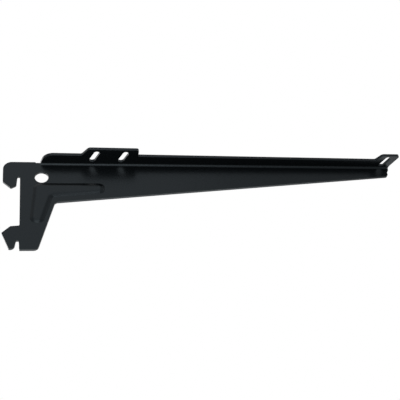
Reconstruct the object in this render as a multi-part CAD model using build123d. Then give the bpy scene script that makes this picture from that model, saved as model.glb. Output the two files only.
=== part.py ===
from build123d import *
import os
from math import radians, tan

# A shelf bracket for a slotted wall rail, cut from one steel sheet and folded once.
# X runs out from the rail face, Z runs up and is 0 on the shelf seat.
# Y is 0 in the middle of the web, and the seat is folded towards -Y. All sizes are in mm, all angles in degrees.

# Steel sheet
sheet = 2.0
bend_inside = 1.5
bend_overlap = 0.4
edge_break = 0.15
least_round = 0.4
small_round = 0.8

# Web: a leg against the rail and an arm under the shelf
web_length = 254.6
nose_depth = 9.5
heel_below_hook = 0.7
foot_width = 11.3
leg_lean = 17.0
foot_round = 3.4
crotch_round = 2.4
nose_round = 2.0
flare_height = 2.6
flare_round = 1.2
heel_round = 0.5
plate_drop = 0.5

# Hooks that drop into the rail
hook_pitch = 50.0
hook_reach = 11.0
first_notch = 12.6
notch_width = 1.65
notch_flat = 0.05
upper_notch_lean = 5.0
lower_notch_lean = 10.0
lower_notch_inset = 0.35
upper_nose = 9.05
upper_tip_reach = 5.75
upper_chamfer = 5.0
upper_lead = 1.95
upper_lead_round = 2.0
upper_tip_round = 0.8
upper_crown_round = 5.8
lower_nose = 6.2
lower_shoulder = 11.2
lower_shoulder_fall = 0.5
lower_slope_start = 5.6
lower_tip_above_notch = 5.65
lower_tip_reach = 6.4

# Round hole through the web
hole_diameter = 8.8
hole_from_rail = 13.8
hole_below_seat = 13.1

# Seat: the folded flange, measured from the outer face of the web
seat_start = 12.9
seat_rear_width = 11.45
seat_front_width = 9.45
seat_rear_round = 7.5
fold_overrun = 1.2
relief_width = 2.9
relief_depth = 0.6

# Tabs that widen the seat round the screw slots
tab_angle = 56.0
tab_foot_round = 1.5
tab_shoulder_round = 3.0
tab_end_round = 1.5
tab_step_round = 0.8
rear_tab_start = 39.7
rear_tab_end = 77.2
rear_tab_reach = 6.35
front_tab_length = 11.5
front_tab_reach = 5.5
front_tip_round = 1.3

# Slanted screw slots
slot_angle = 67.5
rear_slot_width = 3.85
front_slot_width = 3.5
slot_length = 10.8
slot_pitch = 19.2
rear_slot_from_tab = 8.5
rear_slot_offset = 10.05
front_slot_from_edge = 6.85
front_slot_offset = 8.4

# Stiffening bead, pressed towards the seat side
bead_height = 1.2
bead_slope = 33.0
bead_foot_round = 1.0
bead_below_hole = 0.25
bead_back_top = 8.9
bead_end = 54.5
bead_end_width = 7.85
bead_arm_margin = 3.85
bead_foot_width = 8.4
bead_foot_above_heel = 19.9
bead_leg_margin = 2.8
bead_end_flat = 0.45
bead_crest_flat = 1.2
bead_corner_round = 4.5
bead_crotch_round = 1.5

# Values that follow from the sizes above
half = sheet / 2
bend_outside = bend_inside + sheet
flat_start = half - bend_outside
fold_end = web_length + fold_overrun
leg_slope = tan(radians(leg_lean))
second_notch = first_notch + hook_pitch
notch_round = (notch_width - notch_flat) / 2
leg_depth = second_notch + lower_nose + heel_below_hook
tab_foot_run = tab_foot_round * tan(radians(90 - slot_angle) / 2)
bead_run = bead_height / tan(radians(bead_slope))
bead_turn = tan(radians(bead_slope) / 2)
bead_top = hole_below_seat + hole_diameter / 2 + edge_break + bead_below_hole + bead_foot_round * bead_turn
arm_depth_at_bead = bead_top + bead_end_width + bead_arm_margin
arm_slope = (arm_depth_at_bead - nose_depth) / (web_length - bead_end)
root_depth = arm_depth_at_bead + arm_slope * bead_end
bead_foot = leg_depth - bead_foot_above_heel


def rounded_face(corners):
    """Closed flat outline in the XY plane from (x, y, corner radius) triples."""
    points = [(x, y) for x, y, r in corners]
    radii = [r for x, y, r in corners]
    return make_face(FilletPolyline(*points, radius=radii, close=True))


def upright(face):
    """Turns a face drawn as (X, Z) into the plane of the web, through Y = 0."""
    return Plane.XZ.location * face


def arm_underside(x):
    return -root_depth + arm_slope * x


def leg_front(z):
    return foot_width + leg_slope * (z + leg_depth)


def seat_edge(x):
    """Y of the seat's long free edge, which tapers from rear to front."""
    share = (x - seat_start) / (fold_end - seat_start)
    return half - seat_rear_width - (seat_front_width - seat_rear_width) * share


def front_edge(y):
    """X of the slanted front edge of the front tab, parallel to the slots."""
    return fold_end + (-half - tab_foot_run - y) / tan(radians(slot_angle))


def notch(top, lean, depth, inset):
    """The foot of a notch's leaning side and its rounded top, as outline corners."""
    side = inset + notch_width
    return [
        (-side - depth * tan(radians(lean)), -top - depth),
        (-side, -top, notch_round),
        (-inset, -top, notch_round),
    ]


def upper_hook():
    nose = -first_notch - upper_nose
    lead, *notch_top = notch(first_notch, upper_notch_lean, upper_nose - upper_lead, 0)
    return [
        (-hook_reach, -plate_drop, upper_crown_round),
        (-hook_reach, nose + upper_chamfer, small_round),
        (-upper_tip_reach, nose, upper_tip_round),
        (*lead, upper_lead_round),
        *notch_top,
    ]


def lower_hook():
    top = -second_notch + lower_shoulder
    tip = -second_notch + lower_tip_above_notch
    lead, *notch_top = notch(second_notch, lower_notch_lean, lower_nose, lower_notch_inset)
    lead_round = (lower_tip_reach + lead[0] - small_round) / tan(radians(90 - lower_notch_lean) / 2)
    return [
        (0, top, small_round),
        (-lower_slope_start, top - lower_shoulder_fall, small_round),
        (-hook_reach, tip, least_round),
        (-lower_tip_reach, -second_notch - lower_nose, small_round),
        (*lead, lead_round),
        *notch_top,
    ]


def web_outline():
    crotch_x = leg_front(-root_depth) / (1 - leg_slope * arm_slope)
    fold_line = -bend_outside
    relief = -plate_drop - relief_depth
    corners = upper_hook() + lower_hook()
    corners += [
        (0, -leg_depth, heel_round),
        (foot_width, -leg_depth, foot_round),
        (crotch_x, arm_underside(crotch_x), crotch_round),
        (web_length, arm_underside(web_length), nose_round),
        (web_length, fold_line - flare_height, flare_round),
        (fold_end, fold_line - small_round, flare_round),
        (fold_end, fold_line, 0),
        (seat_start, fold_line, 0),
        (seat_start, relief, 0),
        (seat_start - relief_width, relief, 0),
        (seat_start - relief_width, -plate_drop, least_round),
    ]
    return rounded_face(corners)


def seat_outline():
    corner = seat_start + leg_slope * (seat_rear_width - sheet)
    rise = 1 / tan(radians(tab_angle))
    front_tab_start = fold_end - front_tab_length
    front_y = seat_edge(fold_end) - front_tab_reach
    corners = [
        (seat_start, half, 0),
        (seat_start, -half, 0),
        (corner, seat_edge(corner), seat_rear_round),
        (rear_tab_start, seat_edge(rear_tab_start), tab_foot_round),
        (rear_tab_start + rise * rear_tab_reach, seat_edge(rear_tab_start) - rear_tab_reach, tab_shoulder_round),
        (rear_tab_end, seat_edge(rear_tab_end) - rear_tab_reach, tab_end_round),
        (rear_tab_end, seat_edge(rear_tab_end), tab_step_round),
        (front_tab_start, seat_edge(front_tab_start), tab_foot_round),
        (front_tab_start + rise * front_tab_reach, front_y, tab_shoulder_round),
        (front_edge(front_y), front_y, front_tip_round),
        (fold_end, -half - tab_foot_run, tab_foot_round),
        (fold_end, half, 0),
    ]
    return rounded_face(corners)


def slots():
    """Flat slots in the XY plane, centred on the seat."""
    rear_y = half - rear_slot_offset
    front_y = half - front_slot_offset
    rear_x = rear_tab_start + rear_slot_from_tab
    front_x = front_edge(front_y) - front_slot_from_edge
    places = [
        (rear_x, rear_y, rear_slot_width),
        (rear_x + slot_pitch, rear_y, rear_slot_width),
        (front_x, front_y, front_slot_width),
    ]
    return [Pos(x, y) * SlotOverall(slot_length, width, rotation=-slot_angle) for x, y, width in places]


def bend():
    """The fold, with a short straight stretch at each end that overlaps the web or the flange."""
    ring = Circle(bend_outside) - Circle(bend_inside)
    turn = ring & Rectangle(bend_outside, bend_outside, align=(Align.MIN, Align.MIN))
    to_web = Pos(bend_inside, 0) * Rectangle(sheet, bend_overlap, align=(Align.MIN, Align.MAX))
    to_flange = Pos(0, bend_inside) * Rectangle(bend_overlap, sheet, align=(Align.MAX, Align.MIN))
    section = Pos(flat_start, -bend_outside) * (turn + to_web + to_flange)
    length = front_edge(flat_start - bend_overlap) - seat_start
    strip = extrude(Plane.YZ.offset(seat_start).location * section, amount=length)
    return strip & extrude(seat_outline(), amount=-bend_outside - bend_overlap)


def flange():
    """The slotted flat of the seat, with every cut edge broken."""
    plate = split(extrude(seat_outline(), amount=-sheet), Plane.XZ.offset(-flat_start))
    for slot in slots():
        plate -= extrude(slot, amount=-sheet)
    rims = plate.edges().filter_by(Axis.Z, reverse=True)
    at_bend = rims.group_by(Axis.Y)[-1]
    return chamfer(rims - at_bend, edge_break)


def bead_outline():
    """The L of the bead where its sides meet the web, drawn as (X, Z)."""
    end_round = (bead_end_width - bead_end_flat) / 2
    foot_round = (bead_foot_width - bead_end_flat) / 2
    leg_offset = bead_leg_margin * (1 + leg_slope**2) ** 0.5
    crotch_x = (leg_front(bead_arm_margin - root_depth) - leg_offset) / (1 - leg_slope * arm_slope)
    foot_front = leg_front(-bead_foot) - leg_offset
    corners = [
        (bead_back_top, -bead_top, bead_corner_round),
        (bead_end, -bead_top, end_round),
        (bead_end, -bead_top - bead_end_width, end_round),
        (crotch_x, arm_underside(crotch_x) + bead_arm_margin, bead_crotch_round),
        (foot_front, -bead_foot, foot_round),
        (foot_front - bead_foot_width, -bead_foot, foot_round),
    ]
    return rounded_face(corners)


def pressed_form(outline, y, crest_round):
    """A raised form with sloping sides and a rounded crest, standing on the plane at this y."""
    base = Plane.XZ.offset(-y)
    form = extrude(base.location * outline, amount=bead_height, taper=90 - bead_slope)
    crest = form.faces().sort_by(Axis.Y)[0]
    return fillet(crest.edges(), crest_round)


def web_face(body, y):
    """The large flat face of the web in the plane at this y."""
    return body.faces().filter_by(Axis.Y).filter_by_position(Axis.Y, y, y).sort_by(SortBy.AREA)[-1]


def bead_rim(face):
    """The longest inner boundary of the web's face, along which the bead leaves it."""
    return face.inner_wires().sort_by(SortBy.LENGTH)[-1].edges()


def pressed(web):
    """The web with the bead raised on the seat side and hollow behind, one sheet apart."""
    crest_width = min(bead_end_width, bead_foot_width) - 2 * bead_run
    crest_round = (crest_width - bead_crest_flat) / 2 / bead_turn
    outline = bead_outline()
    inner_outline = offset(outline, amount=-sheet * bead_turn)
    raised = pressed_form(outline, -half, crest_round)
    hollow = pressed_form(inner_outline, half, crest_round - sheet)
    web = web + raised - hollow
    web = fillet(bead_rim(web_face(web, -half)), bead_foot_round)
    return fillet(bead_rim(web_face(web, half)), bead_foot_round + sheet)


def flat_web():
    """The flat web with its hole and with every cut edge broken."""
    hole = Pos(hole_from_rail, -hole_below_seat) * Circle(hole_diameter / 2)
    web = extrude(upright(web_outline() - hole), amount=half, both=True)
    rims = web.edges().filter_by(Axis.Y, reverse=True)
    in_fold = rims.filter_by_position(Axis.X, seat_start, fold_end).filter_by_position(Axis.Z, -bend_outside, 0)
    return chamfer(rims - in_fold, edge_break)


def bracket():
    return pressed(flat_web()) + bend() + flange()


os.makedirs("parts", exist_ok=True)
part = bracket()
part.label = "shelf_bracket"
export_step(part, "parts/shelf_bracket.step")
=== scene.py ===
from math import cos, pi, radians, sin

import bpy
from mathutils import Matrix, Vector


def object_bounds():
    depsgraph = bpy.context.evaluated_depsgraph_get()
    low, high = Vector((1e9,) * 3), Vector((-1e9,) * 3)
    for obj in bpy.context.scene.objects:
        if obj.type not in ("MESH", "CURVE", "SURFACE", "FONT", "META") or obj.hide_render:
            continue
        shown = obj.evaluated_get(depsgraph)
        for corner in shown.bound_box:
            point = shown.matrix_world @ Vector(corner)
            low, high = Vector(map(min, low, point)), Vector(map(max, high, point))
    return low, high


# A black shelf bracket for a slotted wall rail. All lengths are in metres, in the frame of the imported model.
# X runs out from the wall, Z runs up and is 0 on the shelf seat, and the seat is folded towards -Y.
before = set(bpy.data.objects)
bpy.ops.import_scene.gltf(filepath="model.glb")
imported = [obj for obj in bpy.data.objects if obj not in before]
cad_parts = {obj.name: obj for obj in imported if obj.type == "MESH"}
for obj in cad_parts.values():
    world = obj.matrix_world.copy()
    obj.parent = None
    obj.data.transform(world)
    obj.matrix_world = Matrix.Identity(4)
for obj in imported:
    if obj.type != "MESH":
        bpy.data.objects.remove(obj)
cad_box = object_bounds()
scene = bpy.context.scene
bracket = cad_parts["shelf_bracket"]
centre = Vector(((cad_box[0][0] + cad_box[1][0]) / 2, 0, (cad_box[0][2] + cad_box[1][2]) / 2))

# Camera: how it is turned, what it looks at and from how far, its lens, and how far it sees
view_azimuth = radians(-13.051)
view_elevation = radians(-35.676)
view_roll = radians(-7.450)
view_target = Vector((0.11751, 0, -0.03040))
view_distance = 0.60253
lens_mm = 81.58
sensor_mm = 36.0
view_reach = 40.0

# Matt floor, this far below the bracket. The lift is what it glows with where it is seen as background.
floor_drop = 1.3
floor_size = 14.0
floor_colour = (0.80, 0.80, 0.79, 1)
floor_roughness = 0.9
floor_lift = 0.65

# White surroundings: how strong they are where they are seen, and how strong as light on the object
white = (1, 1, 1, 1)
background_strength = 1.0
surround_strength = 0.3

# Soft boxes: direction from the bracket, distance, width, height and radiance.
# The stack in front and below draws the fold and the bead, and the others keep the light even from all sides.
soft_boxes = {
    "box_below": ((-0.08, -0.42, -0.90), 1.1, 0.60, 0.45, 3.4),
    "box_below_front": ((-0.20, -0.75, -0.63), 1.1, 0.65, 0.45, 3.4),
    "box_front_low": ((-0.16, -0.95, -0.27), 1.1, 0.70, 0.45, 2.6),
    "box_front": ((-0.1, -0.97, 0.21), 1.4, 1.1, 0.7, 0.7),
    "box_above_front": ((-0.15, -0.78, 0.61), 1.4, 1.0, 0.9, 0.85),
    "box_above_right": ((0.79, -0.16, 0.58), 1.4, 0.9, 0.8, 0.8),
    "box_above": ((0.1, 0.3, 0.95), 1.5, 1.2, 1.2, 1.6),
    "box_above_behind": ((-0.55, 0.78, 0.3), 1.5, 1.2, 1.2, 2.2),
    "box_below_behind": ((0.08, 0.71, -0.70), 1.1, 1.0, 0.85, 2.1),
}

# Powder coat: darkest and lightest tone, range of roughness, and the weak bluish gloss
coat_dark = (0.0013, 0.0018, 0.0022, 1)
coat_light = (0.0021, 0.0026, 0.0031, 1)
coat_roughness = (0.24, 0.32)
coat_specular = 0.17
coat_specular_tint = (0.75, 0.90, 1.0, 1)

# Its texture: size, detail and height of the grain and the orange peel, and the clouds of tone
grain_size = 0.00045
grain_detail = 3
grain_height = 0.000012
peel_size = 0.0024
peel_detail = 1
peel_height = 0.00003
cloud_size = 0.035
cloud_detail = 4


def look_from(back, distance, target):
    """World matrix of something that stands at this distance from the target and looks at it."""
    back = Vector(back).normalized()
    return Matrix.Translation(target + distance * back) @ back.to_track_quat("Z", "Y").to_matrix().to_4x4()


def add_camera():
    """Camera at the photographed angle, below the seat and in front of the web."""
    data = bpy.data.cameras.new("camera")
    data.lens = lens_mm
    data.sensor_width = sensor_mm
    data.clip_end = view_reach
    camera = bpy.data.objects.new("camera", data)
    scene.collection.objects.link(camera)
    right = Vector((cos(view_azimuth), sin(view_azimuth), 0))
    level = Vector((sin(view_azimuth), -cos(view_azimuth), 0))
    back = cos(view_elevation) * level + Vector((0, 0, sin(view_elevation)))
    up = back.cross(right)
    turned_right = cos(view_roll) * right + sin(view_roll) * up
    turned_up = cos(view_roll) * up - sin(view_roll) * right
    axes = Matrix((turned_right, turned_up, back)).transposed().to_4x4()
    camera.matrix_world = Matrix.Translation(view_target + view_distance * back) @ axes
    scene.camera = camera


def add_soft_box(name, direction, distance, width, height, radiance):
    """Area lamp that faces the bracket. Its power follows from its radiance and its area."""
    data = bpy.data.lights.new(name, "AREA")
    data.shape = "RECTANGLE"
    data.size = width
    data.size_y = height
    data.energy = radiance * width * height * pi
    lamp = bpy.data.objects.new(name, data)
    scene.collection.objects.link(lamp)
    lamp.matrix_world = look_from(direction, distance, centre)


def seen_as_background(nodes, links):
    """Socket that is 1 for rays that show the background: from the camera, off a gloss or through glass."""
    path = nodes.new("ShaderNodeLightPath")
    seen = path.outputs["Is Camera Ray"]
    for kind in ("Is Glossy Ray", "Is Transmission Ray"):
        either = nodes.new("ShaderNodeMath")
        either.operation = "MAXIMUM"
        links.new(seen, either.inputs[0])
        links.new(path.outputs[kind], either.inputs[1])
        seen = either.outputs[0]
    return seen


def add_world():
    """White for the camera, reflections and glass, and a softer light on the object."""
    world = bpy.data.worlds.new("world")
    scene.world = world
    world.use_nodes = True
    nodes = world.node_tree.nodes
    links = world.node_tree.links
    nodes.clear()
    light = nodes.new("ShaderNodeBackground")
    light.inputs["Color"].default_value = white
    light.inputs["Strength"].default_value = surround_strength
    background = nodes.new("ShaderNodeBackground")
    background.inputs["Color"].default_value = white
    background.inputs["Strength"].default_value = background_strength
    mix = nodes.new("ShaderNodeMixShader")
    links.new(seen_as_background(nodes, links), mix.inputs[0])
    links.new(light.outputs[0], mix.inputs[1])
    links.new(background.outputs[0], mix.inputs[2])
    output = nodes.new("ShaderNodeOutputWorld")
    links.new(mix.outputs[0], output.inputs["Surface"])


def add_floor():
    """Matt floor that keeps the shadow and looks pale where it is seen."""
    mesh = bpy.data.meshes.new("floor")
    reach = floor_size / 2
    z = cad_box[0][2] - floor_drop
    corners = [(-reach, -reach, z), (reach, -reach, z), (reach, reach, z), (-reach, reach, z)]
    mesh.from_pydata(corners, [], [(0, 1, 2, 3)])
    floor = bpy.data.objects.new("floor", mesh)
    scene.collection.objects.link(floor)
    material = bpy.data.materials.new("pale_floor")
    material.use_nodes = True
    nodes = material.node_tree.nodes
    links = material.node_tree.links
    shader = nodes["Principled BSDF"]
    shader.inputs["Base Color"].default_value = floor_colour
    shader.inputs["Roughness"].default_value = floor_roughness
    shader.inputs["Emission Color"].default_value = floor_colour
    lift = nodes.new("ShaderNodeMath")
    lift.operation = "MULTIPLY"
    lift.inputs[1].default_value = floor_lift
    links.new(seen_as_background(nodes, links), lift.inputs[0])
    links.new(lift.outputs[0], shader.inputs["Emission Strength"])
    mesh.materials.append(material)


def noise(nodes, links, place, size, detail):
    """Noise in the object's own coordinates, with features of about this size."""
    texture = nodes.new("ShaderNodeTexNoise")
    texture.inputs["Scale"].default_value = 1 / size
    texture.inputs["Detail"].default_value = detail
    links.new(place.outputs["Object"], texture.inputs["Vector"])
    return texture


def powder_coat():
    """Satin black powder coat: fine grain over a faint orange peel, with cloudy changes of tone."""
    material = bpy.data.materials.new("black_powder_coat")
    material.use_nodes = True
    nodes = material.node_tree.nodes
    links = material.node_tree.links
    shader = nodes["Principled BSDF"]
    shader.inputs["Specular IOR Level"].default_value = coat_specular
    shader.inputs["Specular Tint"].default_value = coat_specular_tint
    place = nodes.new("ShaderNodeTexCoord")
    grain = noise(nodes, links, place, grain_size, grain_detail)
    peel = noise(nodes, links, place, peel_size, peel_detail)
    cloud = noise(nodes, links, place, cloud_size, cloud_detail)

    tone = nodes.new("ShaderNodeMix")
    tone.data_type = "RGBA"
    tone.inputs["A"].default_value = coat_dark
    tone.inputs["B"].default_value = coat_light
    links.new(cloud.outputs["Fac"], tone.inputs["Factor"])
    links.new(tone.outputs["Result"], shader.inputs["Base Color"])

    gloss = nodes.new("ShaderNodeMapRange")
    gloss.inputs["To Min"].default_value = coat_roughness[0]
    gloss.inputs["To Max"].default_value = coat_roughness[1]
    links.new(grain.outputs["Fac"], gloss.inputs["Value"])
    links.new(gloss.outputs["Result"], shader.inputs["Roughness"])

    peel_bump = nodes.new("ShaderNodeBump")
    peel_bump.inputs["Distance"].default_value = peel_height
    links.new(peel.outputs["Fac"], peel_bump.inputs["Height"])
    grain_bump = nodes.new("ShaderNodeBump")
    grain_bump.inputs["Distance"].default_value = grain_height
    links.new(grain.outputs["Fac"], grain_bump.inputs["Height"])
    links.new(peel_bump.outputs["Normal"], grain_bump.inputs["Normal"])
    links.new(grain_bump.outputs["Normal"], shader.inputs["Normal"])
    return material


add_camera()
add_world()
add_floor()
for name, values in soft_boxes.items():
    add_soft_box(name, *values)

coat = powder_coat()
for material_slot in bracket.material_slots:
    material_slot.material = coat

scene.view_settings.view_transform = "Standard"
